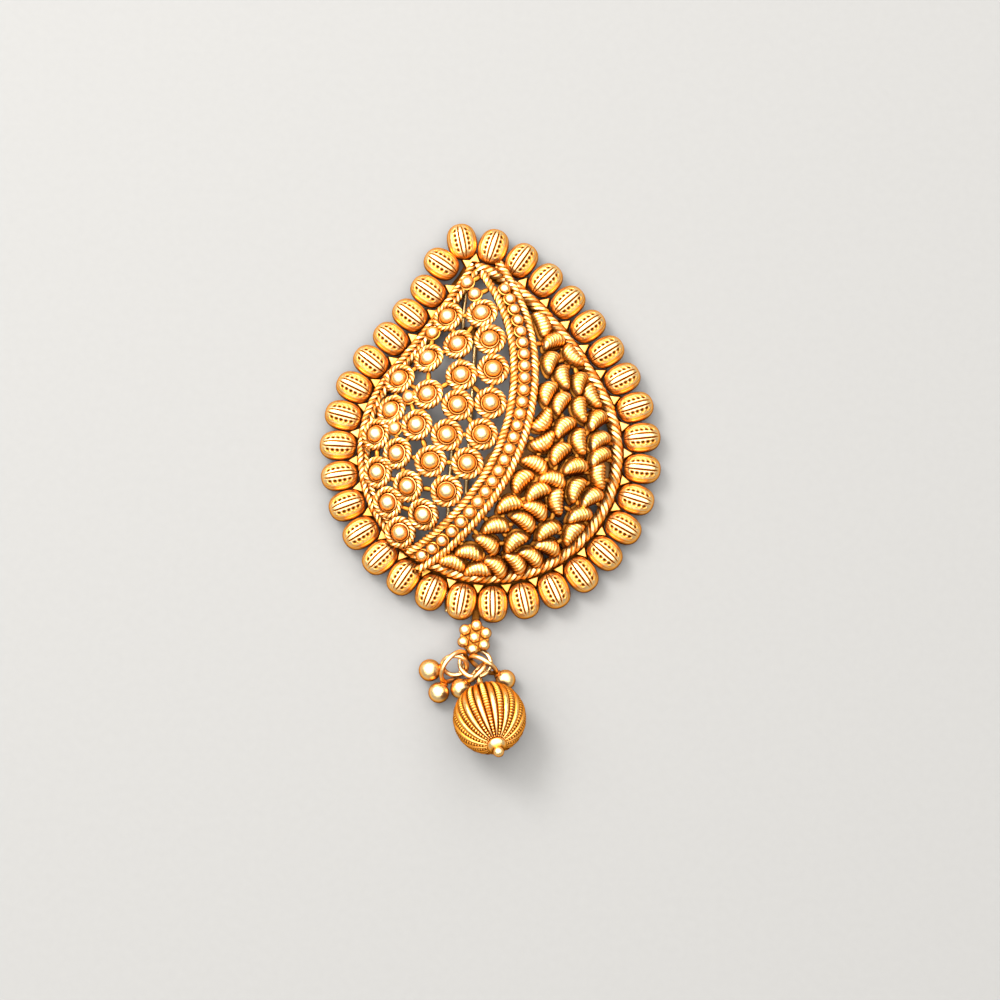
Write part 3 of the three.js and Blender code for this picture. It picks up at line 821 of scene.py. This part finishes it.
for side, name in ((-1, "inner"), (1, "outer")):
    line = dome_line(BAND_RADIUS + side * BAND_ROPE_OFFSET, BAND_ROPE_LIFT, ROPE_FROM, ROPE_TO)
    twist = rope(line, BAND_ROPE_RADIUS, BAND_ROPE_PITCH, hand=side)
    finish_piece("band_twist_" + name, twist, bright_gold, ["band_rope_" + name])

# %% Balls of the band
BALL_COUNT, BALL_FROM, BALL_TO = 26, 27, -60.5
BAND_BALL_RADIUS, BAND_BALL_LIFT = 0.83, 0.42
# the discs under the balls are painted darker, as painted shade
BAND_DISC, BAND_DISC_TONE = [(0, 0.05), (1.05, 0), (1.05, -0.25), (0, -0.25)], 0.7

band = new_form()
band_ball = small_ball(BAND_BALL_RADIUS, BAND_BALL_LIFT)
band_disc = kept(tone(turned(BAND_DISC, 12), BAND_DISC_TONE))
for i in range(BALL_COUNT):
    place = polar(BAND_RADIUS, BALL_FROM + (BALL_TO - BALL_FROM) * (i + 0.5) / BALL_COUNT, BAND_CENTRE)
    seat = on_dome(place.x, place.y)
    stamp(band, band_disc, seat)
    stamp(band, band_ball, seat)
finish_piece("band_balls", band, bright_gold, ["band_beads"])

# %% [markdown]
# ## Ribbed beans
# The right field is soldered up from small curled beans, each ribbed across its back and set on a
# thin flange, like a cashew or a grub. One bean starts as a sphere with its poles at head and
# tail. Waves press the ribs into it, and then it is narrowed towards its tail and curled.

# %% One bean
BEAN_LENGTH, BEAN_WIDTH, BEAN_HEIGHT, BEAN_UNDERSIDE, BEAN_FULLNESS = 3.9, 2.3, 1.4, 0.3, 2.4
BEAN_TAPER, BEAN_CURL = 0.18, -0.14
RIB_PITCH, RIB_DEPTH, RIB_BEND, RIB_SHARPNESS = 0.45, 0.12, 0.2, 1.5
RIBBED_END, RIBBED_FADE, BACK_FADE = 0.86, 6, 3
# painted shade in the ribs' grooves, less of it higher up, and on the underside and the flange
RIB_TONE, RIB_TOP_BRIGHTENING, BEAN_FOOT_TONE, BEAN_FOOT_FROM = 7, 3, 0.5, 0.2
FLANGE = [(0, -0.6), (1.05, -0.6), (1.2, -0.5), (1.15, -0.4), (0.85, -0.2), (0, -0.2)]
FLANGE_TONE = 0.8


def curl(point):
    """Draws a point of a round, unit-long bean out, narrows it towards the tail and curls it."""
    along = point.x
    across = point.y * (1 + BEAN_TAPER * along) * BEAN_WIDTH / 2
    return Vector((
        along * BEAN_LENGTH / 2,
        across + BEAN_CURL * BEAN_LENGTH * (along * along - 0.5),
        point.z,
    ))


def rib_press(along, across, height):
    """Share of its thickness that a point is pressed in, by its place on the unit ball."""
    bent = along + RIB_BEND * across * across
    wave = (0.5 - 0.5 * math.cos(math.tau * bent * BEAN_LENGTH / 2 / RIB_PITCH)) ** RIB_SHARPNESS
    ends = clamp((RIBBED_END - abs(along)) * RIBBED_FADE)
    return RIB_DEPTH * wave * ends * clamp(height * BACK_FADE)


def bean():
    form = new_form()
    body = ball(1, sides=20, rings=38)
    layer = body.verts.layers.float[PAINTED_SHADE_LAYER]
    for vert in body.verts:
        along, across, height = vert.co.z, vert.co.x, vert.co.y
        press = rib_press(along, across, height)
        full = fuller(along, math.hypot(across, height), BEAN_FULLNESS)
        size = full * (1 - press)
        tall = BEAN_HEIGHT if height > 0 else BEAN_UNDERSIDE
        vert.co = curl(Vector((along * full, across * size, height * size * tall)))
        foot = clamp(BEAN_FOOT_FROM - height)
        vert[layer] = clamp(press * (RIB_TONE - RIB_TOP_BRIGHTENING * clamp(height)) + BEAN_FOOT_TONE * foot)
    stamp(form, kept(body))
    flange = tone(turned(FLANGE, 24), FLANGE_TONE)
    for vert in flange.verts:
        vert.co = curl(vert.co)
    stamp(form, kept(flange))
    return kept(form)


# %% The right field
# each row: its radius round the centre of the band, and its beans' offset, angle and lean
BEAN_ROWS = [
    (33, [
        (-0.4, 13.5, -65), (0.7, 8.5, 30), (0, 3, 65), (-0.3, -5, 65), (-0.4, -12, 235),
        (0.4, -17, 215), (0.4, -23, -25), (-0.2, -28, 50), (0, -34.5, 20), (0.3, -40.5, 10),
        (0.9, -44.5, -40), (0, -49, -10), (-0.5, -53.5, -15),
    ]),
    (35.8, [
        (0.5, 5, 130), (-1.1, -0.5, 95), (-1.2, -7, 60), (-0.2, -12.5, 45), (0.2, -18.5, 50),
        (0.6, -24.5, -10), (-0.4, -28.5, 30), (0.5, -32, -30), (0, -35.5, -35), (0.8, -40, 40),
        (1, -46.5, -45), (-0.3, -50, 5),
    ]),
    (38.4, [
        (-1.4, -1.5, 70), (0.5, -4, 115), (-1, -7.5, 95), (-0.2, -14.5, 95), (0.2, -20, 15),
        (-0.1, -28, 95), (0.8, -34, 30), (1, -40, -35), (-0.1, -43, -50),
    ]),
    (41.3, [
        (-1.5, -9, 45), (-0.6, -13, 35), (0, -16, 35), (0.8, -19.5, 95), (-1.4, -24, 60),
        (0.9, -24, 30), (0.5, -28, 15), (0.9, -31.5, 50), (-0.9, -36.5, -20),
    ]),
]
BEAN_REACH, BEAN_SOLDER_DROP = 1.6, 0.4

field, bean_form, places = new_form(), bean(), []
for radius, beans in BEAN_ROWS:
    for offset, angle, lean in beans:
        place = polar(radius + offset, angle, BAND_CENTRE)
        places.append((place, BEAN_REACH))
        stamp(field, bean_form, on_dome(place.x, place.y, spin=lean))
solder_bridges(field, places, BEAN_SOLDER_DROP)
print("right field:", len(places), "beans")
finish_piece("ribbed_beans", field, bright_gold, ["bean_field"])

# %% [markdown]
# ## Back plate and hair pin
# The back plate is plain sheet, and its solid already has the right shape, so it only gets its
# finish. The pin is one long bent wire that runs through a small barrel, so a curve gives it
# smooth bends and a bevelled cylinder makes the barrel.

# %% Sheet metal and pin
PIN_RADIUS, PIN_Z = 0.28, 0.38
PIN_ROUTE = [
    (-4, -18.5), (-3.4, -4.8), (-3.2, 0.2), (-2.1, 14.3), (-2.2, 23.5), (-3, 25.9),
    (-3.7, 23.5), (-4.1, 15), (-5.6, 0), (-6.1, -9), (-6.1, -22.2),
]
BARREL_RADIUS, BARREL_LENGTH, BARREL_X, BARREL_Y, BARREL_FOOT_Z = 1.05, 2.1, -2.9, 17.1, 0.1
# the barrel is painted darker, as painted shade
BARREL_BEVEL, BARREL_TONE = 0.15, 0.7

sheet = frame["nodes"]["back_plate"]
sheet.data.materials.clear()
sheet.data.materials.append(plate_shade_brown)

pin = new_form()
route = [Vector((x, y, PIN_Z)) for x, y in PIN_ROUTE]
stamp(pin, wire([route], PIN_RADIUS, smooth=True, fineness=3))
barrel = new_form()
bmesh.ops.create_cone(barrel, cap_ends=True, segments=24, radius1=BARREL_RADIUS,
                      radius2=BARREL_RADIUS, depth=BARREL_LENGTH)
rims = [edge for edge in barrel.edges if edge.calc_face_angle(0) > 1]
bmesh.ops.bevel(barrel, geom=rims, offset=BARREL_BEVEL, affect="EDGES", segments=3, profile=0.5,
                material=-1)
barrel_place = shift(BARREL_X, BARREL_Y, BARREL_RADIUS + BARREL_FOOT_Z)
stamp(pin, kept(tone(barrel, BARREL_TONE)), barrel_place @ turn_about("X", 90))
finish_piece("bent_pin", pin, brown_gold, ["hair_pin"], sharp=40)

# %% [markdown]
# ## Bail and main ring
# Seven balls on a small disc hide the place where the drops are hung. Behind them a tab runs under
# the frame, and a loop holds the main jump ring. A jump ring is a plain wire hoop, made flat and
# then aimed: a form made along the X axis is rolled round it and turned to its direction.

# %% Aiming a form
def direction(turn, lift):
    flat = math.cos(math.radians(lift))
    return polar(flat, turn) + UP * math.sin(math.radians(lift))


def aim(way, middle, roll=0):
    level = left_of(way).normalized()
    basis = Matrix((way, level, way.cross(level))).transposed().to_4x4()
    return Matrix.Translation(middle) @ basis @ turn_about("X", roll)


# %% Cluster, disc and loop
WIRE = 0.32
# painted shade on the loops, the cluster's balls, its disc and the tab
LOOP_TONE = 0.1
CLUSTER, CLUSTER_PITCH, CLUSTER_TURN, CLUSTER_Z = Vector((-2.2, -26.1, 0)), 1.7, 21.3, 2.2
CLUSTER_BALL, CLUSTER_TONE = 0.8, 0.3
DISC_LOW, DISC_HIGH, DISC_RADIUS, DISC_CHAMFER, DISC_TONE = 1.55, 1.95, 2.05, 0.1, 0.6
BAIL_POINT, BAIL_LOOP_RADIUS = Vector((-2.1, -27.65, 1.1)), 0.78

bail = new_form()
cluster_ball = top_lit_ball(CLUSTER_BALL, 22, 14, CLUSTER_TONE)
for spot in [CLUSTER] + [polar(CLUSTER_PITCH, CLUSTER_TURN + 60 * i, CLUSTER) for i in range(6)]:
    stamp(bail, cluster_ball, Matrix.Translation(spot + UP * CLUSTER_Z))
cluster_disc = turned([
    (0, DISC_HIGH), (DISC_RADIUS - DISC_CHAMFER, DISC_HIGH), (DISC_RADIUS, DISC_HIGH - DISC_CHAMFER),
    (DISC_RADIUS, DISC_LOW), (0, DISC_LOW),
], 24)
stamp(bail, kept(tone(cluster_disc, DISC_TONE)), Matrix.Translation(CLUSTER))
loop = kept(tone(hoop(BAIL_LOOP_RADIUS, WIRE, 10, 28), LOOP_TONE))
stamp(bail, loop, Matrix.Translation(BAIL_POINT) @ turn_about("Y", 90))

# %% Tab of the bail
TAB_REACH, TAB_WIDTH, TAB_LOW, TAB_HIGH, TAB_LEG = 6.6, 1.1, 0.1, 0.5, 0.4
TAB_PAST_BEAD, TAB_BEVEL, TAB_TONE = 0.3, 0.08, 0.85
TAB_AFTER_BEAD = 18


def tab_bar(length, low, high):
    """Stamps a bar into the bail that reaches inwards from the tab's outer end."""
    form = new_form()
    bmesh.ops.create_cube(form, size=1, matrix=Matrix.Diagonal((length, TAB_WIDTH, high - low, 1)))
    bmesh.ops.bevel(form, geom=form.edges[:], offset=TAB_BEVEL, affect="EDGES", segments=2,
                    profile=0.5, material=-1)
    end = BEAD_LENGTH / 2 + TAB_PAST_BEAD + TAB_LEG
    stamp(bail, kept(tone(form, TAB_TONE)), tab_place @ shift(end - length / 2, 0, (low + high) / 2))


tab_point = (bead_middles[TAB_AFTER_BEAD - 1] + bead_middles[TAB_AFTER_BEAD]) / 2
tab_way = outline.way((bead_lengths[TAB_AFTER_BEAD - 1] + bead_lengths[TAB_AFTER_BEAD]) / 2)
tab_place = shift(tab_point.x, tab_point.y) @ turned_to(left_of(tab_way))
tab_bar(TAB_REACH, TAB_LOW, TAB_HIGH)
tab_bar(TAB_LEG, TAB_LOW, DISC_HIGH)
finish_piece("ball_cluster", bail, bright_gold, ["drop_bail"])

# %% Main ring
MAIN_RADIUS, MAIN_TILT, MAIN_Z = 2.13, 20, 1.05

ring = new_form()
way = direction(-90, MAIN_TILT)
ring_middle = Vector((BAIL_POINT.x, BAIL_POINT.y, MAIN_Z)) + way * MAIN_RADIUS
stamp(ring, kept(hoop(MAIN_RADIUS, WIRE, 12, 48)), aim(way, ring_middle))
finish_piece("main_jump_ring", ring, bright_gold, ["main_ring"])

# %% [markdown]
# ## Small ball drops
# Each small drop is a hollow ball with a turned neck, hung on its own jump ring. They lie on the
# table beside each other, so every one is aimed its own way, with its ball on the surface.

# %% Four drops
NECK = [(0.2, -0.15), (0.62, -0.05), (0.66, 0.05), (0.5, 0.14), (0.38, 0.24), (0.44, 0.36), (0.2, 0.4)]
# painted shade inside the neck, and on the ball where the neck sits on it
NECK_LENGTH, NECK_TONE = 0.35, 0.75
POLE_TONE, POLE_FROM = 2.0, 0.85  # a little dark where the neck sits on the ball
DROPS = [
    # x, y and radius of the ball, turn and lift of the drop, roll and radius of its ring
    (-8.4, -30.6, 1.55, 9.5, 12, 44.5, 1.7),
    (-7.15, -33.7, 1.45, 59, 15, 63, 2.4),
    (-4.15, -33.15, 1.4, 42.5, 20, 104, 1.74),
    (2.1, -31.9, 1.4, 147.5, 14, 102.5, 2.04),
]

along_x = turn_about("Y", 90)
neck = kept(tint(turned(NECK, 20), lambda point: NECK_TONE - math.hypot(point.x, point.y)))
for number, (x, y, radius, turn, lift, roll, ring_radius) in enumerate(DROPS, 1):
    drop = new_form()
    place = aim(direction(turn, lift), Vector((x, y, radius)))
    body = tint(ball(radius, 32, 20), lambda point: POLE_TONE * clamp(point.z / radius - POLE_FROM))
    stamp(drop, kept(body), place @ along_x)
    stamp(drop, neck, place @ shift(radius) @ along_x)
    reach = shift(radius + NECK_LENGTH + ring_radius)
    stamp(drop, kept(hoop(ring_radius, WIRE, 10, 40)), place @ reach @ turn_about("X", roll))
    finish_piece(f"hanging_ball_{number}", drop, bright_gold, [f"ball_drop_{number}"])

# %% [markdown]
# ## The melon ball and its finial
# The largest drop is a melon ball: ribs run from pole to pole, plain ones and beaded ones by
# turns, with grooves between that are painted dark as shade. A sphere with many sides has its
# edges along the ribs, so its points are pressed in between them, and a second wave along each odd
# rib beads it. The finial is turned.

# %% Melon ball
MELON, MELON_RADIUS, MELON_TURN, MELON_LIFT = Vector((-0.1, -37.6, 5.1)), 5.05, 14, 37
RIBS, RIB_SINK, BEADS_PER_RIB, BEADING_SINK = 30, 0.36, 36, 0.17
RIB_SPREAD = 2.2  # the ribs keep their depth nearly to the poles and fade out there
# painted shade in the grooves and between the beads, less of it near the poles
BEADING_TONE, POLE_FLOOR = 0.7, 0.5
LOOP_RADIUS, LOOP_ROLL, LOOP_REACH, LOOP_PULL = 1.3, 83, 6.35, 9.5


def melon_form():
    form = ball(1, sides=8 * RIBS, rings=6 * BEADS_PER_RIB)
    layer = form.verts.layers.float[PAINTED_SHADE_LAYER]
    for vert in form.verts:
        around = math.atan2(vert.co.y, vert.co.x) / math.tau * RIBS
        tilt = math.acos(min(max(vert.co.z, -1), 1))
        off_rib = abs(around - round(around)) * 2
        groove = off_rib ** 3
        beat = 0.5 - 0.5 * math.cos(2 * tilt * BEADS_PER_RIB)
        beading = beat * (1 - groove) if round(around) % 2 else 0
        spread = clamp(math.sin(tilt) * RIB_SPREAD)
        vert.co *= MELON_RADIUS - (RIB_SINK * groove + BEADING_SINK * beading) * spread
        dark = groove + BEADING_TONE * beading
        vert[layer] = clamp(dark * (POLE_FLOOR + (1 - POLE_FLOOR) * spread))
    return kept(form)


melon = new_form()
stamp(melon, melon_form(), aim(direction(MELON_TURN + 90, -MELON_LIFT), MELON) @ along_x)
loop_place = aim(direction(MELON_TURN + 90, LOOP_PULL - MELON_LIFT), MELON) @ shift(LOOP_REACH)
loop = kept(tone(hoop(LOOP_RADIUS, WIRE, 10, 32), LOOP_TONE))
stamp(melon, loop, loop_place @ turn_about("X", LOOP_ROLL))
finish_piece("melon_drop", melon, antique_gold, ["melon_ball"])

# %% Finial
FINIAL = [
    (0, 0.1), (1.25, -0.15), (1.36, -0.05), (1.39, 0.2), (1.3, 0.5), (1.05, 0.75), (0.78, 0.88),
    (0.68, 1.0), (0.73, 1.2), (0.75, 1.45), (0.7, 1.7), (0.52, 1.95), (0.25, 2.08), (0, 2.1),
]
FINIAL_REACH = 5.1
WAIST_HEIGHT, WAIST_TONE, WAIST_FADE = 1, 0.7, 4
# painted shade in the waist and at the seat on the ball
SEAT_HEIGHT, SEAT_TONE = 0.3, 0.6


def finial_painted_shade(point):
    """Painted shade in the waist below the tip, and where the collar sits on the ball."""
    waist = clamp(1 - abs(point.z - WAIST_HEIGHT) * WAIST_FADE)
    return WAIST_TONE * waist + SEAT_TONE * clamp(SEAT_HEIGHT - point.z)


finial = new_form()
finial_place = aim(direction(MELON_TURN - 90, MELON_LIFT), MELON) @ shift(FINIAL_REACH)
stamp(finial, kept(tint(turned(FINIAL, 32), finial_painted_shade)), finial_place @ along_x)
finish_piece("melon_tip", finial, bright_gold, ["melon_finial"])

# %% [markdown]
# ## Table, light and camera
# The brooch lies on a plain pale table. Polished gold only looks like gold when it has something
# bright to mirror, so one large soft light hangs over it like a tent, and a smaller one at the
# upper left casts the soft shadow. A long lens looks down from just in front of vertical.

# %% Table
TABLE_COLOUR, SPECK_SHADE, SPECK_SCALE, TABLE_ROUGHNESS = (0.27, 0.265, 0.255), 0.94, 900.0, 0.8
TABLE_SIZE, TABLE_DROP = 0.6, 0.0001

paper = Finish("table_paper")
place = paper.node("TexCoord", out="Object")
speckle = paper.node("TexNoise", {}, {"Vector": place, "Scale": SPECK_SCALE, "Detail": 4.0})
stops = [(0, TABLE_COLOUR), (1, [v * SPECK_SHADE for v in TABLE_COLOUR])]
colour = paper.node("ValToRGB", {"stops": stops}, {"Fac": speckle})
shader = paper.node("BsdfPrincipled", {}, {"Base Color": colour, "Roughness": TABLE_ROUGHNESS})
paper.node("OutputMaterial", {}, {"Surface": shader})

table = bmesh.new()
bmesh.ops.create_grid(table, x_segments=1, y_segments=1, size=TABLE_SIZE)
table_mesh = bpy.data.meshes.new("table")
table.to_mesh(table_mesh)
table.free()
table_mesh.materials.append(paper.material)
floor = bpy.data.objects.new("table", table_mesh)
bpy.context.scene.collection.objects.link(floor)
floor.location.z = body_middle.z - TABLE_DROP

# %% Lights
SKY_COLOUR, SKY_STRENGTH = (1, 0.97, 0.93, 1), 0.4

scene = bpy.context.scene


def soft_light(name, place, size, power):
    """A square soft light that faces the middle of the table."""
    data = bpy.data.lights.new(name, "AREA")
    data.size = size
    data.energy = power
    lamp = bpy.data.objects.new(name, data)
    lamp.location = place
    lamp.rotation_euler = (-Vector(place)).to_track_quat("-Z", "Y").to_euler()
    scene.collection.objects.link(lamp)
    print("light:", name, power, "W")


soft_light("tent", place=(-0.05, 0.1, 0.5), size=1.4, power=17.0)
soft_light("upper_left", place=(-0.3, 0.3, 0.5), size=0.25, power=3.4)
world = bpy.data.worlds.new("studio")
world.use_nodes = True
background = world.node_tree.nodes["Background"].inputs
background["Color"].default_value = SKY_COLOUR
background["Strength"].default_value = SKY_STRENGTH
scene.world = world
scene.view_settings.view_transform = "Standard"

# %% Camera
LOOK_AT = body_middle + Vector((1.34, -6.64, 1.75)) * MM
DISTANCE, ELEVATION, VIEW_WIDTH = 0.45, 80, 0.14

lens = bpy.data.cameras.new("camera")
lens.angle = 2 * math.atan(VIEW_WIDTH / 2 / DISTANCE)
camera = bpy.data.objects.new("camera", lens)
camera.location = LOOK_AT + direction(-90, ELEVATION) * DISTANCE
camera.rotation_euler = (LOOK_AT - camera.location).to_track_quat("-Z", "Y").to_euler()
scene.collection.objects.link(camera)
scene.camera = camera
print("camera:", [round(v, 4) for v in camera.location])
